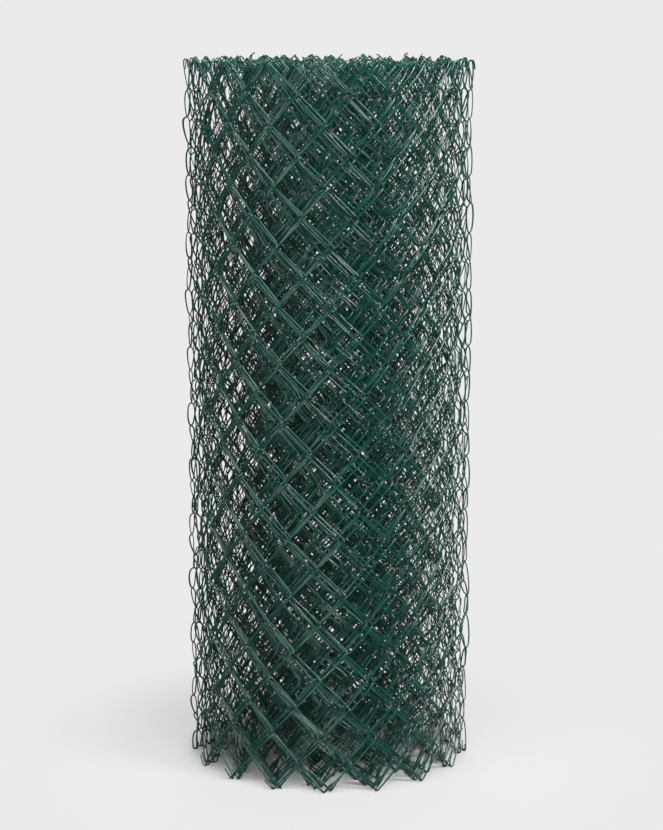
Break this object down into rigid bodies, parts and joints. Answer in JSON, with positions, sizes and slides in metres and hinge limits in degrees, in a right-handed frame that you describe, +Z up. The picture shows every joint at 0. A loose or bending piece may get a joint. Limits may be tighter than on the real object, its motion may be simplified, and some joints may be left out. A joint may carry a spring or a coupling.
{
  "type": "roll of chain link fencing",
  "caption": "Roll of green plastic-coated chain link fencing, wound tight around an open bore and standing on its end, ready to be unrolled along fence posts.",
  "frame": {"origin": "on the axis of the bore, in the plane of the lower end that the roll stands on", "axes": "+Z up along the bore, -Y toward the front of the roll, +Y toward the free edge at its back"},
  "size_m": [0.3697, 0.3725, 0.9],
  "materials": {
    "coated_wire": "satin green plastic coating on steel wire"
  },
  "bodies": {
    "root": {"fence_roll": "coated_wire"}
  },
  "joints": []
}
